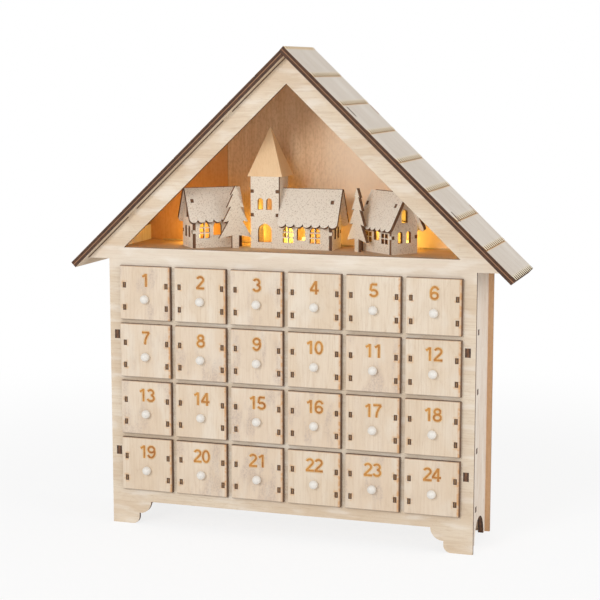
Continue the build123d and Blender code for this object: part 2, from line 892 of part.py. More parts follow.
# Battery case: an open tray glued to the back panel, with a groove for the sliding cover
case_front_y = front_y + body_depth
cavity_y = case_front_y + case_base
groove_y = cavity_y + cell_diameter + cell_play
groove_depth = cover_thickness + 2 * cover_play
cavity_left = case_left + case_wall
cavity_bottom = case_bottom + case_wall
cover_height = case_inner_height + 2 * (cover_groove - cover_play)
switch_y = cavity_y + (groove_y - cavity_y) / 2
switch_z = case_bottom + case_height / 2
with BuildPart() as battery_case:
    with BuildSketch(Plane.XZ.offset(-case_front_y - case_depth)):
        with Locations((case_left, case_bottom)):
            Rectangle(case_length, case_height, align=(Align.MIN, Align.MIN))
    extrude(amount=case_depth)
    # Cell bay and switch bay
    with BuildSketch(Plane.XZ.offset(-cavity_y)):
        with Locations((cavity_left, cavity_bottom)):
            Rectangle(case_inner_length, case_inner_height, align=(Align.MIN, Align.MIN))
        with Locations((bay_left, cavity_bottom)):
            Rectangle(switch_bay, case_inner_height, align=(Align.MIN, Align.MIN))
    extrude(amount=-(case_depth - case_base), mode=Mode.SUBTRACT)
    # Groove and mouth for the cover, open at the left end
    with BuildSketch(Plane.XZ.offset(-groove_y)):
        with Locations((case_left - cut_overrun, switch_z)):
            Rectangle(
                case_length - case_wall + cut_overrun,
                case_inner_height + 2 * cover_groove,
                align=(Align.MIN, Align.CENTER),
            )
    extrude(amount=-groove_depth, mode=Mode.SUBTRACT)
    with BuildSketch(Plane.XZ.offset(-groove_y - groove_depth)):
        with Locations((case_left - cut_overrun, switch_z)):
            Rectangle(
                case_length - case_wall + cut_overrun,
                case_inner_height,
                align=(Align.MIN, Align.CENTER),
            )
    extrude(amount=-(case_lip + cut_overrun), mode=Mode.SUBTRACT)
    # Wire hole through the base and switch slot through the right end
    with BuildSketch(Plane.XZ.offset(-cavity_y)):
        with Locations((wire_x, wire_z)):
            Circle(wire_hole_diameter / 2)
    extrude(amount=case_base, mode=Mode.SUBTRACT)
    with BuildSketch(Plane.YZ.offset(case_left + case_length - case_wall)):
        with Locations((switch_y, switch_z)):
            Rectangle(switch_width + 2 * switch_play, switch_length + switch_travel + 2 * switch_play)
    extrude(amount=case_wall, mode=Mode.SUBTRACT)
write_piece(battery_case.part, "battery_case")

# Battery cover: a flat plate in the grooves, with a raised thumb ridge
cover_length = case_length - case_wall - cover_play
with BuildPart() as battery_cover:
    with BuildSketch(Plane.XZ.offset(-groove_y - cover_play)):
        with Locations((case_left, switch_z)):
            Rectangle(cover_length, cover_height, align=(Align.MIN, Align.CENTER))
    extrude(amount=-cover_thickness)
    with BuildSketch(Plane.XZ.offset(-groove_y - cover_play - cover_thickness)):
        with Locations((case_left + cover_ridge_setback, switch_z)):
            with GridLocations(2 * cover_ridge_width, cover_ridge_length, cover_ridges, 1):
                Rectangle(cover_ridge_width, cover_ridge_length)
    extrude(amount=-case_lip)
write_piece(battery_cover.part, "battery_cover")

# Cells: two round cells lying side by side, facing opposite ways
cells = []
cell_y = cavity_y + cell_diameter / 2 + cell_play / 2
for turn, step in ((-1, 0), (1, 1)):
    cell_z = cavity_bottom + cell_play + cell_diameter / 2 + step * (cell_diameter + cell_play)
    middle_x = cavity_left + case_inner_length / 2
    can_middle = middle_x - turn * cell_nub_length / 2
    with BuildPart() as cell:
        with BuildSketch(Plane.YZ.offset(can_middle - cell_length / 2)):
            with Locations((cell_y, cell_z)):
                Circle(cell_diameter / 2)
        extrude(amount=cell_length)
        with BuildSketch(Plane.YZ.offset(can_middle + turn * cell_length / 2)):
            with Locations((cell_y, cell_z)):
                Circle(cell_nub_diameter / 2)
        extrude(amount=turn * cell_nub_length)
    cells.append(cell.part)
write_group(cells, "batteries")

# Contacts: one bridge plate at the left end and two single plates at the right end
contacts = []
contact_middle = cavity_bottom + case_inner_height / 2
contact_spans = [
    (cavity_left, contact_middle, cell_diameter + cell_play + contact_width),
    (
        cavity_left + case_inner_length - contact_thickness,
        contact_middle - (cell_diameter + cell_play) / 2,
        contact_width,
    ),
    (
        cavity_left + case_inner_length - contact_thickness,
        contact_middle + (cell_diameter + cell_play) / 2,
        contact_width,
    ),
]
for contact_x, contact_z, contact_span in contact_spans:
    with BuildPart() as contact:
        with BuildSketch(Plane.YZ.offset(contact_x)):
            with Locations((cell_y, contact_z)):
                Rectangle(contact_width, contact_span)
        extrude(amount=contact_thickness)
    contacts.append(contact.part)
write_group(contacts, "battery_contacts")

# Switch: a thumb slider through the right end of the case, held by a flange inside the bay
with BuildPart() as power_switch:
    switch_rest_z = switch_z - switch_travel / 2
    flange_x = case_left + case_length - case_wall - switch_play
    with BuildSketch(Plane.YZ.offset(flange_x)):
        with Locations((switch_y, switch_rest_z)):
            Rectangle(
                switch_width + 2 * switch_flange_margin,
                switch_length + switch_travel + 2 * switch_flange_margin,
            )
    extrude(amount=-switch_flange)
    with BuildSketch(Plane.YZ.offset(flange_x)):
        with Locations((switch_y, switch_rest_z)):
            Rectangle(switch_width, switch_length)
    extrude(amount=switch_play + case_wall + switch_reach)
write_piece(power_switch.part, "power_switch")
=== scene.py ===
import math

import bpy
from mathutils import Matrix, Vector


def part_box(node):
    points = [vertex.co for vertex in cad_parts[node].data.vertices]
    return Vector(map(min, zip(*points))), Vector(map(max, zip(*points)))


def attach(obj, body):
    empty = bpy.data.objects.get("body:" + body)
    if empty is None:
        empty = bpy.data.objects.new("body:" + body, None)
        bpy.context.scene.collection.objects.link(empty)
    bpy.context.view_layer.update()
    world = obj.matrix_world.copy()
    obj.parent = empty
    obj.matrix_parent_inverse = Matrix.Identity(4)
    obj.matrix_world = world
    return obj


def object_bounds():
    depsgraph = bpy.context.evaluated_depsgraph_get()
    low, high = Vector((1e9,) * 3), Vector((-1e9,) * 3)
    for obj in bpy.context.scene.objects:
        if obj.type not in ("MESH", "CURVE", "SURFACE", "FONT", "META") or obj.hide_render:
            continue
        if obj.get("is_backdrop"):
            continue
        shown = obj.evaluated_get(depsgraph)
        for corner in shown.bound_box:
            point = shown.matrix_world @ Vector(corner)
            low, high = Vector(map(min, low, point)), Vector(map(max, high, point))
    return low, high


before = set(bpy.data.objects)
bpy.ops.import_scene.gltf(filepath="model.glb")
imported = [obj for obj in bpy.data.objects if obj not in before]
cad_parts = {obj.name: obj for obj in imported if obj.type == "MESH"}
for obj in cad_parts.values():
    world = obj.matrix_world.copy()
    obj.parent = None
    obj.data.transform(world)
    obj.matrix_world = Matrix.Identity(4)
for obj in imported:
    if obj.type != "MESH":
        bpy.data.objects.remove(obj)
cad_low, cad_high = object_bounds()

# House panels: the front, the two sides, the shelves, the dividers and the attic floor.
# They are laser-cut poplar plywood, bare and sanded, slotted together with through tenons.
# The laser leaves the cut edges charred brown, with the plies showing as lighter lines.
mm = 0.001
front_low, front_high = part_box("front_panel")
front_face = front_low.y / mm
panel_ply = (front_high.y - front_low.y) / mm
side_ply = (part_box("right_side_panel")[1].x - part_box("right_side_panel")[0].x) / mm
shelf_ply = (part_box("shelf_1")[1].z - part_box("shelf_1")[0].z) / mm
edge_turn = 0.7
relief_strength = 0.5


def srgb(red, green, blue):
    """Colour as seen on a screen, 0 to 255, as the shader's linear colour."""
    levels = [value / 255 for value in (red, green, blue)]
    linear = [v / 12.92 if v <= 0.04045 else ((v + 0.055) / 1.055) ** 2.4 for v in levels]
    return (*linear, 1.0)


class Shade:
    """A value, vector or colour in a finish. Sums and products of values add Math nodes."""

    def __init__(self, finish, socket):
        self.finish = finish
        self.socket = socket

    def math(self, operation, *others):
        return self.finish.node("Math", {"operation": operation}, [self, *others])

    def __add__(self, other):
        return self.math("ADD", other)

    def __mul__(self, other):
        return self.math("MULTIPLY", other)

    def __sub__(self, other):
        return self.math("SUBTRACT", other)

    def __rsub__(self, other):
        return self.finish.node("Math", {"operation": "SUBTRACT"}, [other, self])

    def __truediv__(self, other):
        return self.math("DIVIDE", other)

    def __mod__(self, other):
        return self.math("FLOORED_MODULO", other)

    def __lt__(self, other):
        return self.math("LESS_THAN", other)

    def __gt__(self, other):
        return self.math("GREATER_THAN", other)

    def __abs__(self):
        return self.math("ABSOLUTE")

    def __floor__(self):
        return self.math("FLOOR")

    __radd__ = __add__
    __rmul__ = __mul__

    def least(self, other):
        return self.math("MINIMUM", other)

    def most(self, other):
        return self.math("MAXIMUM", other)

    def fade(self, start, end):
        """0 at start, 1 at end, smooth between; start may be the larger."""
        settings = {"interpolation_type": "SMOOTHSTEP"}
        low, high, first, last = (start, end, 0.0, 1.0) if start < end else (end, start, 1.0, 0.0)
        return self.finish.node("MapRange", settings, [self, low, high, first, last])


class Finish:
    """One material, or the world, built node by node on Object coordinates in millimetres."""

    def __init__(self, name, library="materials"):
        self.owner = getattr(bpy.data, library).new(name)
        self.owner.use_nodes = True
        self.tree = self.owner.node_tree
        self.tree.nodes.clear()

    def node(self, kind, settings, sockets, output=0):
        made = self.tree.nodes.new("ShaderNode" + kind)
        for name, value in settings.items():
            setattr(made, name, value)
        for name, value in sockets.items() if isinstance(sockets, dict) else enumerate(sockets):
            if isinstance(value, Shade):
                self.tree.links.new(value.socket, made.inputs[name])
            else:
                made.inputs[name].default_value = value
        return Shade(self, made.outputs[output]) if made.outputs else None

    def split(self, vector):
        return [self.node("SeparateXYZ", {}, [vector], axis) for axis in range(3)]

    def place(self):
        return [axis / mm for axis in self.split(self.node("TexCoord", {}, [], "Object"))]

    def facing(self):
        return self.split(self.node("TexCoord", {}, [], "Normal"))

    def noise(self, axes, detail):
        point = self.node("CombineXYZ", {}, axes)
        return self.node("TexNoise", {}, {"Vector": point, "Scale": 1.0, "Detail": detail}, "Fac")

    def chance(self, axes):
        """A number from 0 to 1 that is fixed for each whole-numbered cell."""
        return self.node("TexWhiteNoise", {}, {"Vector": self.node("CombineXYZ", {}, axes)}, "Value")

    def mix(self, share, first, second):
        return self.node("Mix", {"data_type": "RGBA"}, {0: share, 6: first, 7: second}, 2)

    def surface(self, colour, roughness, relief=None, relief_depth=0.1, **constants):
        sockets = {"Base Color": colour, "Roughness": roughness}
        if relief is not None:
            bump = {"Height": relief, "Distance": relief_depth * mm, "Strength": relief_strength}
            sockets["Normal"] = self.node("Bump", {}, bump)
        for name, value in constants.items():
            sockets[name.replace("_", " ").title()] = value
        shader = self.node("BsdfPrincipled", {}, sockets)
        self.node("OutputMaterial", {}, {"Surface": shader})
        return self.owner


def veneer(finish, along, across, through, pale, warm, streak):
    """Planed veneer: a cloudy tone, growth rings, long fibres, short open pores and loose specks.

    Each noise takes its axes in repeats per millimetre, fewer along the grain than across it.
    """
    cloud = finish.noise([along * 0.009, across * 0.04, through * 0.05], 2.0)
    ring = abs((cloud * 11.0) % 1.0 - 0.5).fade(0.12, 0.0)
    fibre = finish.noise([along * 0.035, across * 0.7, through * 0.7], 3.0)
    pore = finish.noise([along * 0.17, across * 1.3, through * 1.3], 2.0).fade(0.62, 0.74)
    speck = finish.noise([along * 0.8, across * 0.8, through * 0.8], 1.0).fade(0.66, 0.76)
    colour = finish.mix(cloud.fade(0.36, 0.64), pale, warm)
    colour = finish.mix(fibre.fade(0.42, 0.75) * 0.34 + ring * 0.14, colour, streak)
    colour = finish.mix(pore * 0.3 + speck * 0.35, colour, streak)
    return colour, fibre - pore * 0.6


def charred(finish, along, across, through, ply):
    """Laser-cut edge of a board: burnt brown, the middle ply a little lighter."""
    soot = finish.noise([along * 0.25, across * 0.25, through * 0.6], 3.0)
    middle = abs(through - ply / 2).fade(ply * 0.3, ply * 0.1)
    return finish.mix(soot.fade(0.35, 0.7) * 0.4 + middle * 0.3, srgb(54, 34, 22), srgb(138, 92, 58))


def board(name, along, across, through, ply, face, tones, liming=0.0, marks=None):
    """Plywood board that faces one axis; the three axes are given as 0, 1, 2 for x, y, z."""
    finish = Finish(name)
    axes = finish.place()
    start = axes[through] - face
    colour, relief = veneer(finish, axes[along], axes[across], axes[through], *tones)
    patch = finish.noise([axes[along] * 0.03, axes[across] * 0.11, 0.0], 3.0).fade(0.48, 0.7) * liming
    colour = finish.mix(patch, colour, limed)
    if marks:
        colour = marks(finish, axes, colour)
    edge = abs(finish.facing()[through]) < edge_turn
    burnt = charred(finish, axes[along], axes[across], start, ply)
    return finish.surface(finish.mix(edge, colour, burnt), 0.62 + relief * 0.1, relief)


def dress(material, *names):
    """Give CAD nodes their finish."""
    for name in names:
        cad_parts[name].material_slots[0].material = material


cream_tones = [srgb(225, 209, 187), srgb(215, 194, 168), srgb(190, 161, 129)]
side_tones = [srgb(234, 222, 208), srgb(226, 210, 193), srgb(180, 150, 122)]
floor_tones = [srgb(200, 168, 136), srgb(188, 152, 118), srgb(148, 110, 80)]
limed = srgb(236, 227, 215)
sill_low, sill_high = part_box("drawer_01")[1].z / mm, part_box("attic_floor")[1].z / mm
sill_fade = 3.0
sill_lime = 0.35
roof_pitch = math.radians(43.5)
ridge = front_high.z / mm
roof_tab_places = [76.0, 205.0]
roof_tab_length = 11.5
brow_width = 1.1
brow_shade_share = 0.9


def front_marks(finish, axes, colour):
    """The sill's limed band, and a dark line of painted shade in the gap under the roof, broken only by the
    roof's tabs.
    """
    x, y, z = axes
    sill = z.fade(sill_low - sill_fade, sill_low) * z.fade(sill_high + sill_fade, sill_high)
    colour = finish.mix(sill * sill_lime, colour, limed)
    down = abs(x) * math.cos(roof_pitch) - (z - ridge) * math.sin(roof_pitch)
    lift = abs(x) * math.sin(roof_pitch) + (z - ridge) * math.cos(roof_pitch)
    tab_gap = abs(down - roof_tab_places[0]).least(abs(down - roof_tab_places[1]))
    # Painted shade: a dark line on the panel just under the roof, where the gap there lies in shade; the
    # roof's tabs break it.
    gap_shade = (lift > -brow_width) * (tab_gap > roof_tab_length / 2)
    return finish.mix(gap_shade * brow_shade_share, colour, srgb(84, 54, 32))


front_board = board("front_plywood", 0, 2, 1, panel_ply, front_face, cream_tones, 0.5, front_marks)
dress(front_board, "front_panel")
for side in ("left", "right"):
    panel = f"{side}_side_panel"
    panel_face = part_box(panel)[0].x / mm
    dress(board(f"{side}_side_plywood", 2, 1, 0, side_ply, panel_face, side_tones, 0.4), panel)
for number in range(1, 5):
    shelf = f"shelf_{number}"
    shelf_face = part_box(shelf)[0].z / mm
    dress(board(f"{shelf}_plywood", 0, 1, 2, shelf_ply, shelf_face, cream_tones), shelf)
for number in range(1, 6):
    divider = f"divider_{number}"
    divider_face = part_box(divider)[0].x / mm
    dress(board(f"{divider}_plywood", 1, 2, 0, panel_ply, divider_face, cream_tones), divider)
attic_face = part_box("attic_floor")[0].z / mm
dress(board("attic_floor_plywood", 0, 1, 2, shelf_ply, attic_face, floor_tones), "attic_floor")

# Back panel: thin plywood faced with brown veneer, laid in upright strips with a seam left of the church.
# Its cut edges are less burnt than the front's and show as tan plies round a brown core.
seam_place = -83.4
seam_width = 0.5
margin_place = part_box("right_side_panel")[0].x / mm
strip_shift = 400.0
painted_light_start, painted_light_end = -10.0, 50.0
gable_shade_start, gable_shade_end = 350.0, 420.0
core_fade = (0.9, 0.5)
veneer_tones = [srgb(230, 198, 160), srgb(220, 182, 142), srgb(186, 142, 104)]
back_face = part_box("back_panel")[0].y / mm


def back_veneer():
    """Brown strips, with painted light making the inside paler to the right, amber in the left strip, and
    painted shade darker up in the gable.
    """
    finish = Finish("brown_back_veneer")
    x, y, z = finish.place()
    left_strip = x < seam_place
    strip_z = z + left_strip * strip_shift
    brown, relief = veneer(finish, strip_z, x, y, *veneer_tones)
    dapple = finish.noise([x * 0.5, y * 0.5, z * 0.3], 4.0).fade(0.42, 0.68)
    brown = finish.mix(dapple * 0.28, brown, srgb(166, 120, 86))
    inside = finish.facing()[1] < 0.0
    margin = x > margin_place
    # Painted light: the inside is painted paler towards the right, where light falls into the attic.
    pale = x.fade(painted_light_start, painted_light_end) * (1 - margin) * inside
    brown = finish.mix(pale * 0.78, brown, srgb(247, 222, 194))
    brown = finish.mix(margin * inside * 0.6, brown, srgb(212, 166, 122))
    # Painted shade: darker up in the gable, under the roof's overhang.
    brown = finish.mix(z.fade(gable_shade_start, gable_shade_end) * 0.35, brown, srgb(176, 120, 74))
    colour = finish.mix(left_strip * inside * 0.6, brown, srgb(214, 146, 68))
    colour = finish.mix(abs(x - seam_place).fade(seam_width, 0.0) * 0.5, colour, srgb(96, 60, 38))
    core = abs(y - back_face - panel_ply / 2).fade(*core_fade)
    soot = finish.noise([x * 0.2, y * 0.8, z * 0.2], 3.0).fade(0.4, 0.7)
    plies = finish.mix(core * 0.7 + soot * 0.3, srgb(192, 146, 102), srgb(112, 72, 42))
    edge = abs(finish.facing()[1]) < edge_turn
    return finish.surface(finish.mix(edge, colour, plies), 0.6 + relief * 0.1, relief)


dress(back_veneer(), "back_panel")

# Roof: an inner board and a limed shingle board on each slope, glued face to face over the panels' tabs.
# The laser cuts comb lines across the shingles, which leaves dark wedges with a tan scorch beside them.
# The eave ends in a fringe of such wedges, and the boards' front edges are charred almost black.
roof_ply = 3.0
eave_overhang = 12.5
shingle_pitch = 35.5
tick_length = 5.5
tick_width = 3.2
eave_wedge_length = 4.5
eave_wedge_width = 5.2
ticks = 11
tick_taper = 0.6
bare_reach = tick_length + 1.0
scorch_fade = (2.0, 0.2)
joint_fade = (0.5, 0.1)
cut_depth = 0.4
roof_front, roof_back = (corner.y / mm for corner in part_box("roof_right_shingles"))
tick_pitch = (roof_back - roof_front) / (ticks + 1)
roof_run = (front_high.x / mm) / math.cos(roof_pitch) + eave_overhang


def roof_frame(finish, side):
    """Distance down the slope, depth, lift above the panels, and the normal's lift, of one roof slope."""
    x, y, z = finish.place()
    nx, ny, nz = finish.facing()
    down = x * (side * math.cos(roof_pitch)) - (z - ridge) * math.sin(roof_pitch)
    lift = x * (side * math.sin(roof_pitch)) + (z - ridge) * math.cos(roof_pitch)
    rise = nx * (side * math.sin(roof_pitch)) + nz * math.cos(roof_pitch)
    return down, y, lift, rise


def roof_edge(finish, down, y, lift):
    """Charred board edges, with a thin tan line where the two boards meet."""
    soot = finish.noise([down * 0.3, y * 0.3, lift * 0.8], 3.0).fade(0.35, 0.75)
    dark = finish.mix(soot * 0.5, srgb(58, 33, 16), srgb(112, 70, 38))
    return finish.mix(abs(lift - roof_ply).fade(*joint_fade), dark, srgb(164, 118, 84))


def inner_roof(side, name):
    """The board under the shingles, scorched where the eave's wedges leave it bare."""
    finish = Finish(name)
    down, y, lift, rise = roof_frame(finish, side)
    colour, relief = veneer(finish, down, y, lift, *cream_tones)
    bare = (rise > edge_turn) * (down > roof_run - bare_reach)
    colour = finish.mix(bare, colour, srgb(44, 30, 22))
    edge = abs(rise) < edge_turn
    colour = finish.mix(edge, colour, roof_edge(finish, down, y, lift))
    return finish.surface(colour, 0.64 + relief * 0.1, relief)


def shingle_roof(side, name):
    """Limed shingles: courses of differing tone, scorched comb lines with ticks, and the eave's fringe."""
    finish = Finish(name)
    down, y, lift, rise = roof_frame(finish, side)
    limed_tones = [srgb(229, 220, 209), srgb(220, 209, 196), srgb(184, 166, 146)]
    colour, relief = veneer(finish, down, y, lift, *limed_tones)
    course = math.floor((down - roof_run) / shingle_pitch)
    colour = finish.mix(finish.chance([course, side, 0.0]) * 0.25, colour, srgb(206, 194, 180))
    above = (roof_run - down) % shingle_pitch
    line_gap = above.least(shingle_pitch - above)
    tick_gap = (y - roof_front + tick_pitch / 2) % tick_pitch - tick_pitch / 2
    tick_reach = abs(tick_gap) + (above - tick_length / 2).most(0.0) * tick_taper
    patchy = finish.noise([down * 0.2, y * 0.5, side], 2.0).fade(0.2, 0.55)
    scorch = line_gap.fade(*scorch_fade)
    colour = finish.mix(scorch * patchy * 0.7, colour, srgb(216, 174, 108))
    tooth = above.fade(tick_length * 1.2, tick_length * 0.4)
    colour = finish.mix(tooth * 0.8, colour, srgb(251, 234, 200))
    cut = lift < 2 * roof_ply - cut_depth / 2
    line_burn = finish.mix(patchy, srgb(112, 74, 38), srgb(184, 130, 70))
    colour = finish.mix(cut, colour, line_burn)
    at_eave = down > roof_run - shingle_pitch / 2
    tick_burn = finish.mix(patchy, srgb(110, 66, 16), srgb(150, 100, 40))
    comb_burn = finish.mix(at_eave, tick_burn, srgb(14, 8, 5))
    tooth_gap = abs(tick_gap) + above * (eave_wedge_width / 2 / eave_wedge_length)
    burnt = (tick_reach < tick_width / 2).most(at_eave * (tooth_gap < eave_wedge_width / 2))
    colour = finish.mix(burnt, colour, comb_burn)
    outer_edge = (abs(rise) < edge_turn) * (1 - (lift > 2 * roof_ply - cut_depth * 1.1) * 0.3)
    colour = finish.mix(outer_edge, colour, roof_edge(finish, down, y, lift))
    return finish.surface(colour, 0.7 + relief * 0.1, relief)


for side, side_name in ((-1, "left"), (1, "right")):
    dress(inner_roof(side, f"{side_name}_roof_plywood"), f"roof_{side_name}_board")
    dress(shingle_roof(side, f"{side_name}_shingle_plywood"), f"roof_{side_name}_shingles")

# Drawers: plywood trays with a square face, its side tenons showing as small dark ends, and a white knob.
# The boards come from many sheets, so each face has its own tone and figure, and the grain runs upright.
# Scorch marks sit beside the tenons and along the right and top edges, where the laser ran slower; a dark
# brink along the right edge, top and foot is part scorch and part painted shade of the gap round the face.
first_low, first_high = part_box("drawer_01")
face_width = (first_high.x - first_low.x) / mm
face_height = (first_high.z - first_low.z) / mm
column_pitch = (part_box("drawer_02")[0].x - first_low.x) / mm
row_pitch = (first_low.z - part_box("drawer_07")[0].z) / mm
lowest_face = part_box("drawer_24")[0].z / mm
drawer_ply = 3.0
face_front = front_face - drawer_ply
tenon_across = 20.7
tenon_heights = [11.2, 32.0]
tenon_length = 5.0
tray_top = 41.7
sheet_shift = 400.0
face_skin = 0.1
knob_skin = 0.05
halo_fade = (2.8, 0.2)
right_rim = (3.6, 1.6)
top_rim = (1.4, 0.6)
right_scorch_shade = (1.3, 0.7)
top_scorch_shade = (0.8, 0.3)
foot_scorch_shade = (0.7, 0.3)
tenon_core = (0.8, 0.3)
tenon_core_end = 1.2
drawer_tones = [srgb(226, 210, 189), srgb(219, 199, 174), srgb(193, 165, 134)]


def drawer_cell(x, z):
    """Column and row of a drawer, and the place on its face from the middle and from the foot."""
    column = math.floor(x / column_pitch)
    row = math.floor((z - lowest_face) / row_pitch)
    return column, row, x - (column + 0.5) * column_pitch, z - lowest_face - row * row_pitch


def drawer_plywood():
    """A whole drawer: the face with tenon ends, scorch marks and a brink of scorch and painted shade,
    charred edges and the painted knob.
    """
    finish = Finish("drawer_plywood")
    x, y, z = finish.place()
    nx, ny, nz = finish.facing()
    column, row, across, height = drawer_cell(x, z)
    tone = finish.chance([column, row, 0.0])
    blush = finish.chance([column, row, 7.0])
    shift = tone * sheet_shift
    colour, relief = veneer(finish, z + shift, x + shift, y, *drawer_tones)
    colour = finish.mix(blush * 0.45, colour, srgb(219, 196, 172))
    figure = finish.noise([across * 0.09 + shift, y, height * 0.03 + blush * 9.0], 3.0)
    mottle = finish.noise([x * 0.9, y, z * 0.7], 3.0).fade(0.4, 0.7)
    stain = figure.fade(0.5, 0.66) * blush.fade(0.3, 0.7)
    colour = finish.mix(stain * (0.25 + mottle * 0.5), colour, srgb(186, 166, 152))
    lime = finish.noise([x * 0.06 + shift, y, z * 0.03], 3.0).fade(0.5, 0.7)
    colour = finish.mix(lime * 0.35, colour, srgb(229, 219, 204))
    on_face = y < front_face - face_skin
    tenon_row = abs(height - tenon_heights[0]).least(abs(height - tenon_heights[1]))
    beside = (abs(abs(across) - tenon_across) - drawer_ply / 2).most(0.0)
    above = (tenon_row - tenon_length / 2).most(0.0)
    gap = (beside * beside + above * above).math("SQRT")
    patchy = finish.noise([x * 0.3, y, z * 0.3], 2.0).fade(0.44, 0.62)
    right_gap = face_width / 2 - across
    top_gap = face_height - height
    halo = gap.fade(*halo_fade) * patchy
    colour = finish.mix(on_face * halo * 0.5, colour, srgb(206, 152, 86))
    rim = right_gap.fade(*right_rim).most(top_gap.fade(*top_rim) * 0.5) * (0.45 + patchy * 0.55)
    colour = finish.mix(on_face * rim * 0.85, colour, srgb(208, 152, 94))
    # Part scorch, part painted shade: a dark brown brink on the face along its right edge, top and foot,
    # where the gap beside and below it lies in shade.
    scorch_and_shade = right_gap.fade(*right_scorch_shade).most(top_gap.fade(*top_scorch_shade) * 0.75)
    scorch_and_shade = scorch_and_shade.most(height.fade(*foot_scorch_shade) * 0.6)
    colour = finish.mix(on_face * scorch_and_shade * 0.85, colour, srgb(84, 52, 28))
    core = abs(abs(across) - tenon_across).fade(*tenon_core)
    core = core * tenon_row.fade(tenon_length / 2, tenon_core_end)
    tenon_end = finish.mix(core * (0.4 + mottle * 0.6), srgb(78, 50, 30), srgb(158, 122, 80))
    colour = finish.mix(on_face * (gap < 0.01), colour, tenon_end)
    face_edge = on_face * (abs(ny) < edge_turn)
    tray_edge = (1 - on_face) * (height > tray_top - face_skin) * (nz > edge_turn)
    burnt = charred(finish, x, z, y - face_front, drawer_ply)
    colour = finish.mix(face_edge.most(tray_edge), colour, burnt)
    knob = y < face_front - knob_skin
    paint = finish.mix(finish.noise([x, y, z], 2.0) * 0.4, srgb(232, 228, 221), srgb(216, 209, 199))
    colour = finish.mix(knob, colour, paint)
    return finish.surface(colour, 0.62 - knob * 0.22, relief)


drawer_finish = drawer_plywood()
for number in range(1, 25):
    dress(drawer_finish, f"drawer_{number:02d}")

# Drawer numbers: plain numerals engraved by the laser, a brown burn with a soft orange rim round it.
# They are thin strokes let into the faces, one numeral for each drawer, and slide out with it.
# The burn runs deeper towards the right of each numeral.
digit_height = 12.2
digit_breadth = 1.32
digit_centre = 37.0
digit_stroke = 0.19
rim_stroke = 0.28
digit_pitch = 0.68
digit_skin = 0.05
rim_skin = 0.03
tool_facets = 2
number_reach = 7.0


def bow(across, up, width, height, start, end):
    """Points along part of an ellipse, from one angle to another in degrees."""
    steps = 18
    turns = [math.radians(start + (end - start) * step / steps) for step in range(steps + 1)]
    return [(across + width * math.cos(turn), up + height * math.sin(turn)) for turn in turns]


# Centre lines of the strokes, as shares of the numeral's height from its middle foot.
digit_strokes = {
    "0": [bow(0, 0.5, 0.19, 0.425, 0, 360)],
    "1": [[(-0.17, 0.76), (-0.05, 0.83), (0.05, 0.95)], [(0.06, 0), (0.06, 1)]],
    "2": [bow(0, 0.71, 0.18, 0.215, 165, -35) + [(-0.2, 0.09)], [(-0.25, 0.075), (0.25, 0.075)]],
    "3": [bow(-0.01, 0.725, 0.17, 0.2, 160, -90), bow(-0.01, 0.3, 0.2, 0.225, 90, -165)],
    "4": [[(0.09, 0), (0.09, 1)], [(0.07, 0.95), (-0.22, 0.32)], [(-0.27, 0.3), (0.25, 0.3)]],
    "5": [
        [(0.21, 0.925), (-0.13, 0.925)],
        [(-0.12, 0.95), (-0.18, 0.47)],
        bow(0, 0.3, 0.2, 0.225, 140, -165),
    ],
    "6": [bow(0.01, 0.3, 0.19, 0.225, 0, 360), bow(0.03, 0.5, 0.22, 0.425, 30, 200)],
    "7": [[(-0.24, 0.925), (0.23, 0.925)], [(0.21, 0.92), (0.08, 0.68), (-0.02, 0.38), (-0.06, 0)]],
    "8": [bow(0, 0.735, 0.16, 0.19, 0, 360), bow(0, 0.3, 0.2, 0.225, 0, 360)],
    "9": [bow(-0.01, 0.7, 0.19, 0.225, 0, 360), bow(-0.03, 0.5, 0.22, 0.425, 210, 380)],
}


def burnt_number(name, deep, bright):
    """Scorched wood of a numeral, deeper towards the right and on some drawers than others."""
    finish = Finish(name)
    x, y, z = finish.place()
    column, row, across, height = drawer_cell(x, z)
    burn = finish.noise([x * 0.25, y, z * 0.25], 3.0).fade(0.35, 0.65)
    grain = finish.noise([x * 1.6, y, z * 0.2], 2.0)
    strength = finish.chance([column, row, 3.0])
    rightward = across.fade(-number_reach, number_reach)
    share = burn * 0.35 + rightward * 0.25 + strength * 0.35 + grain.fade(0.5, 0.7) * 0.15
    return finish.surface(finish.mix(share, bright, deep), 0.75, grain)


engraving = burnt_number("engraved_number", srgb(150, 86, 34), srgb(212, 150, 72))
engraving_rim = burnt_number("engraved_number_rim", srgb(222, 184, 136), srgb(229, 203, 160))


def numeral(digits, stroke, skin, material):
    """One numeral as flattened strokes of a round tool, in millimetres, lying in the face's plane."""
    bpy.ops.object.select_all(action="DESELECT")
    bpy.ops.object.add(type="CURVE")
    shape = bpy.context.object
    shape.data.dimensions = "3D"
    shape.data.bevel_depth = stroke / 2
    shape.data.bevel_resolution = tool_facets
    shape.data.use_fill_caps = True
    for place, digit in enumerate(digits):
        shift = (place - (len(digits) - 1) / 2) * digit_pitch
        for points in digit_strokes[digit]:
            spline = shape.data.splines.new("POLY")
            spline.points.add(len(points) - 1)
            for point, (across, up) in zip(spline.points, points):
                point.co = (across * digit_breadth + shift, 0, up - 0.5, 1)
    bpy.ops.object.convert(target="MESH")
    shape = bpy.context.object
    shape.data.materials.clear()
    shape.data.materials.append(material)
    shape.scale = (digit_height * mm, skin * mm / (stroke / 2), digit_height * mm)
    bpy.ops.object.transform_apply(location=False, rotation=False, scale=True)
    return shape


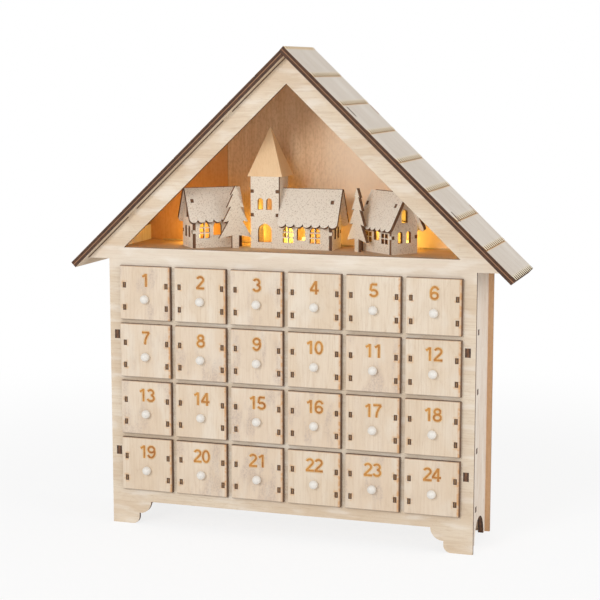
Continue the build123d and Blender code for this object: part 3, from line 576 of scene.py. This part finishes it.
for number in range(1, 25):
    drawer = f"drawer_{number:02d}"
    low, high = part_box(drawer)
    rim_shape = numeral(str(number), rim_stroke, rim_skin, engraving_rim)
    shape = numeral(str(number), digit_stroke, digit_skin, engraving)
    rim_shape.select_set(True)
    bpy.ops.object.join()
    shape.name = f"number_{number:02d}"
    shape.location = ((low.x + high.x) / 2, face_front * mm, low.z + digit_centre * mm)
    bpy.ops.object.transform_apply(location=True, rotation=False, scale=False)
    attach(shape, drawer)

# Village: a church and two cottages of whitewashed plywood, glued from fingered walls and scalloped roofs.
# The wash has a fine brown speckle, and every cut edge, window and scallop is charred.
# The long walls' fingers show pale from the front and as dark ends on the gables.
village_ply = 3.0
house_depth = 28.5
house_pitch = math.radians(61.5)
finger_height = 14.9
finger_length = 3.0
flat_turn = 0.98
touch = 0.05
wall_wash = [srgb(233, 218, 198), srgb(168, 138, 110)]
roof_wash = [srgb(232, 219, 202), srgb(170, 144, 118)]


def washed(finish, wash):
    """Whitewash over wood: pale paint with a brown speckle, thin in places."""
    x, y, z = finish.place()
    speckle = finish.noise([x * 0.9, y * 0.9, z * 0.9], 3.0)
    worn = finish.noise([x * 0.12, y * 0.12, z * 0.12], 2.0)
    colour = finish.mix(speckle.fade(0.5, 0.7) * (0.3 + worn * 0.6), *wash)
    return colour, speckle


def village_frame(finish, origin, turn):
    """Length, depth and height from a building's front left foot, and the normal along length and depth."""
    x, y, z = finish.place()
    nx, ny, nz = finish.facing()
    cosine, sine = math.cos(math.radians(turn)), math.sin(math.radians(turn))
    length = (x - origin[0]) * cosine + (y - origin[1]) * sine
    depth = (y - origin[1]) * cosine - (x - origin[0]) * sine
    return length, depth, z - origin[2], nx * cosine + ny * sine, ny * cosine - nx * sine, nz


def village_surface(finish, colour, relief, flat, along, depth):
    """Washed where the board lies flat, charred on its cut edges."""
    soot = finish.noise([along * 0.5, depth * 0.5, 0.0], 3.0).fade(0.35, 0.7)
    burnt = finish.mix(soot * 0.7, srgb(86, 56, 36), srgb(146, 106, 74))
    return finish.surface(finish.mix(flat, burnt, colour), 0.8, relief, 0.15)


def house_walls(name, origin, turn, length, by_tower):
    """Long walls between two gables: faces of the boards are washed, their edges charred."""
    finish = Finish(name)
    along, depth, height, facing_along, facing_depth, facing_up = village_frame(finish, origin, turn)
    colour, relief = washed(finish, wall_wash)
    left_end = along < village_ply + touch
    right_end = along > length - village_ply - touch
    finger = abs(height - finger_height) < finger_length / 2 + touch
    long_wall = depth.least(house_depth - depth) < village_ply + touch
    gable_face = (abs(facing_along) > flat_turn) * left_end.most(right_end) * (1 - finger * long_wall)
    gable_edge = right_end if by_tower else left_end.most(right_end)
    wall_face = (abs(facing_depth) > flat_turn) * long_wall * (1 - gable_edge * (1 - finger))
    return village_surface(finish, colour, relief, gable_face.most(wall_face), along, depth)


def house_roof(name, origin, turn):
    """Two scalloped plates: their slopes are washed, their edges charred."""
    finish = Finish(name)
    along, depth, height, facing_along, facing_depth, facing_up = village_frame(finish, origin, turn)
    colour, relief = washed(finish, roof_wash)
    slope = abs(facing_depth) * math.sin(house_pitch) + abs(facing_up) * math.cos(house_pitch)
    return village_surface(finish, colour, relief, slope > flat_turn, along, depth)


attic_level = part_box("attic_floor")[1].z / mm
church_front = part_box("church_tower")[0].y / mm
tower_left, tower_right = (corner.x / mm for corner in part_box("church_tower"))
tower_width = tower_right - tower_left
# Each house: its front left foot, its turn in degrees, its length, and if the tower closes its left end.
houses = {
    "church_nave": ((tower_right, church_front, attic_level), 0.0, 50.8, True),
    "left_cottage": ((-94.0, church_front - 21.0, attic_level), 40.0, 48.0, False),
    "right_cottage": ((56.8, church_front + 11.9, attic_level), -39.0, 46.0, False),
}
for house, (origin, turn, length, by_tower) in houses.items():
    dress(house_walls(f"{house}_wash", origin, turn, length, by_tower), f"{house}_walls")
    dress(house_roof(f"{house}_roof_wash", origin, turn), f"{house}_roof")

# Church tower: three whitewashed walls, open at the back, the side walls' tenons showing on the front.
# A solid pyramid of bare wood is glued on as the spire.
tower_tenon_heights = [30.5, 52.1]
tower_tenon_length = 3.0


def tower_walls():
    """Washed walls, with the side walls' tenon ends and all cut edges charred."""
    finish = Finish("church_tower_wash")
    origin = (tower_left, church_front, attic_level)
    along, depth, height, facing_along, facing_depth, facing_up = village_frame(finish, origin, 0.0)
    colour, relief = washed(finish, wall_wash)
    end_gap = along.least(tower_width - along)
    level = abs(height - tower_tenon_heights[0]).least(abs(height - tower_tenon_heights[1]))
    tenon = (end_gap < village_ply) * (level < tower_tenon_length / 2)
    front = (abs(facing_depth) > flat_turn) * (depth < village_ply + touch) * (1 - tenon)
    side = (abs(facing_along) > flat_turn) * (depth > village_ply) * (end_gap < village_ply + touch)
    return village_surface(finish, colour, relief, front.most(side), along, depth)


def spire_wood():
    """Bare wood with its grain running up the spire."""
    finish = Finish("spire_wood")
    x, y, z = finish.place()
    tones = [srgb(244, 210, 166), srgb(234, 196, 148), srgb(208, 162, 114)]
    colour, relief = veneer(finish, z, x + y * 0.4, y, *tones)
    colour = finish.mix(0.5, colour, srgb(238, 199, 152))
    return finish.surface(colour, 0.6, relief)


dress(tower_walls(), "church_tower")
dress(spire_wood(), "church_spire")

# Fir trees: flat cut-outs of the village's plywood, with four tiers of boughs and a foot tenon.
# They are washed like the houses and stand turned, each in a mortise of the attic floor.
tree_turns = {"left_tree": 40.0, "right_tree": -41.5}
tree_tones = [srgb(232, 215, 193), srgb(178, 148, 120)]


def tree_wash(name, origin, turn):
    """The flat faces are washed, the cut outline charred."""
    finish = Finish(name)
    along, depth, height, facing_along, facing_depth, facing_up = village_frame(finish, origin, turn)
    colour, relief = washed(finish, tree_tones)
    return village_surface(finish, colour, relief, abs(facing_depth) > flat_turn, along, depth)


for tree, turn in tree_turns.items():
    low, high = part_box(tree)
    middle = ((low.x + high.x) / 2 / mm, (low.y + high.y) / 2 / mm, attic_level)
    dress(tree_wash(f"{tree}_wash", middle, turn), tree)

# Lamps: six small warm lamps on a pair of thin sleeved wires along the foot of the back wall.
# They shine through the windows and light the attic from behind the village, and faint lights in the
# tower and the right cottage stand for what their walls throw back.
lamp_glow = (1.0, 0.65, 0.1)
lamp_shares = [-0.757, -0.351, -0.041, 0.419, 0.628, 0.98]
lamp_powers = [0.027, 0.013, 0.025, 0.005, 0.022, 0.004]
lamp_advances = [0.012, 0.006, 0.02, 0.004, 0.016, 0.006]
lamp_size = 0.004
tower_power = 0.009
cottage_power = 0.006
loft_light_height = 25.0


def lamp_bulb():
    """Warm glowing lamp, brighter in some places."""
    finish = Finish("lamp_bulb")
    x, y, z = finish.place()
    core = finish.noise([x * 0.6, y * 0.6, z * 0.6], 1.0)
    glow = finish.mix(core, srgb(255, 196, 92), srgb(255, 224, 150))
    return finish.surface(glow, 0.25, emission_color=glow, emission_strength=2.0)


def wire_sleeve():
    """Clear brown sleeve of the thin wires."""
    finish = Finish("wire_sleeve")
    x, y, z = finish.place()
    tone = finish.noise([x * 0.3, y * 0.8, z * 0.8], 2.0)
    return finish.surface(finish.mix(tone, srgb(206, 186, 150), srgb(172, 146, 106)), 0.4, tone)


dress(lamp_bulb(), "lamps")
dress(wire_sleeve(), "lamp_wires")
lamp_low, lamp_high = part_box("lamps")
lamp_depth = (lamp_low.y + lamp_high.y) / 2
wire_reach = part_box("lamp_wires")[1].x


def warm_light(place, power):
    """A small warm light that the camera doesn't see."""
    bpy.ops.object.light_add(type="POINT", location=place)
    light = bpy.context.object
    light.data.color = lamp_glow
    light.data.energy = power
    light.data.shadow_soft_size = lamp_size
    light.visible_camera = False


for share, power, advance in zip(lamp_shares, lamp_powers, lamp_advances):
    warm_light((share * wire_reach, lamp_depth - advance, lamp_high.z + lamp_size), power)
tower_middle = (tower_left + tower_right) / 2 * mm
tower_heart = (church_front + tower_width / 2) * mm
warm_light((tower_middle, tower_heart, (attic_level + tower_tenon_heights[0]) * mm), tower_power)
cottage_low, cottage_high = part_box("right_cottage_walls")
cottage_middle = (cottage_low + cottage_high) / 2
warm_light((cottage_middle.x, cottage_middle.y, (attic_level + loft_light_height) * mm), cottage_power)

# Battery case: a moulded box glued to the back panel, with a sliding cover, two round cells and a switch.
# The mouldings are fine matt plastic, the cells have a plain sleeve, and the contacts are plated steel.


def moulded(name, light, dark, roughness):
    """Moulded plastic with a fine texture and a slow drift of tone."""
    finish = Finish(name)
    x, y, z = finish.place()
    sparkle = finish.noise([x * 3.0, y * 3.0, z * 3.0], 2.0)
    drift = finish.noise([x * 0.05, y * 0.05, z * 0.05], 2.0)
    colour = finish.mix(sparkle * 0.4 + drift * 0.5, light, dark)
    return finish.surface(colour, roughness + sparkle * 0.1, sparkle, 0.05)


def plated_steel():
    """Bright plating with fine brush lines."""
    finish = Finish("plated_steel")
    x, y, z = finish.place()
    brushed = finish.noise([x * 0.4, y * 6.0, z * 0.4], 2.0)
    colour = finish.mix(brushed, srgb(200, 200, 198), srgb(160, 160, 160))
    return finish.surface(colour, 0.25 + brushed * 0.2, brushed, 0.02, metallic=1.0)


case_finish = moulded("case_plastic", srgb(226, 220, 208), srgb(208, 200, 186), 0.5)
dress(case_finish, "battery_case", "battery_cover")
dress(moulded("switch_plastic", srgb(52, 52, 54), srgb(36, 36, 38), 0.35), "power_switch")
dress(moulded("cell_sleeve", srgb(96, 98, 104), srgb(72, 74, 80), 0.3), "batteries")
dress(plated_steel(), "battery_contacts")

# Studio: a white floor that keeps a soft shadow, a white surround, a key light from the front left
# and a broad soft fill from the right. The camera stands to the right and looks a little down.
white = (1.0, 1.0, 1.0, 1.0)
floor_size = 12.0
near_glow = 0.8
shadow_reach = 320.0
clear_reach = 900.0
surround_level = 0.6
key_place = (-0.6, -2.1, 1.0)
key_size = 0.8
key_power = 19.0
fill_place = (2.0, -0.3, 0.9)
fill_size = 1.6
fill_power = 13.0
camera_place = (0.4409, -1.3701, 0.4233)
camera_tilt = 81.7
camera_turn = 17.9
camera_lens = 94.73
camera_sensor = 36.0


def seen(finish):
    """1 for rays that the camera sees, straight or in gloss and glass, 0 for light on the object."""
    kinds = ("Is Camera Ray", "Is Glossy Ray", "Is Transmission Ray")
    camera_ray, glossy_ray, glass_ray = (finish.node("LightPath", {}, [], kind) for kind in kinds)
    return camera_ray.most(glossy_ray).most(glass_ray)


def floor_white():
    """White paper that takes the shadow near the object and fades to plain white further out."""
    finish = Finish("studio_floor")
    x, y, z = finish.place()
    away = (x * x + y * y).math("SQRT").fade(shadow_reach, clear_reach)
    paper = finish.node("BsdfDiffuse", {}, {"Color": srgb(248, 248, 248)})
    glow = finish.node("Emission", {}, {"Color": white, "Strength": 1.0})
    share = seen(finish) * (near_glow + away * (1 - near_glow))
    finish.node("OutputMaterial", {}, {"Surface": finish.node("MixShader", {}, [share, paper, glow])})
    return finish.owner


bpy.ops.object.select_all(action="DESELECT")
bpy.ops.mesh.primitive_plane_add(size=floor_size, location=(0, 0, 0))
floor = bpy.context.object
floor.name = "studio_floor"
floor.data.materials.append(floor_white())
floor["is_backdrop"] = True

surround = Finish("studio_surround", "worlds")
dim = surround.node("Background", {}, {"Color": white, "Strength": surround_level})
bright = surround.node("Background", {}, {"Color": white, "Strength": 1.0})
backdrop = surround.node("MixShader", {}, [seen(surround), dim, bright])
surround.node("OutputWorld", {}, {"Surface": backdrop})
bpy.context.scene.world = surround.owner

middle = (cad_low + cad_high) / 2
for place, size, power in ((key_place, key_size, key_power), (fill_place, fill_size, fill_power)):
    bpy.ops.object.light_add(type="AREA", location=place)
    light = bpy.context.object
    light.data.shape = "DISK"
    light.data.size = size
    light.data.energy = power
    light.rotation_euler = (middle - light.location).to_track_quat("-Z", "Y").to_euler()

bpy.ops.object.camera_add(location=camera_place)
camera = bpy.context.object
camera.rotation_euler = (math.radians(camera_tilt), 0, math.radians(camera_turn))
camera.data.lens = camera_lens
camera.data.sensor_width = camera_sensor
bpy.context.scene.camera = camera
bpy.context.scene.view_settings.view_transform = "Standard"

low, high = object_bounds()
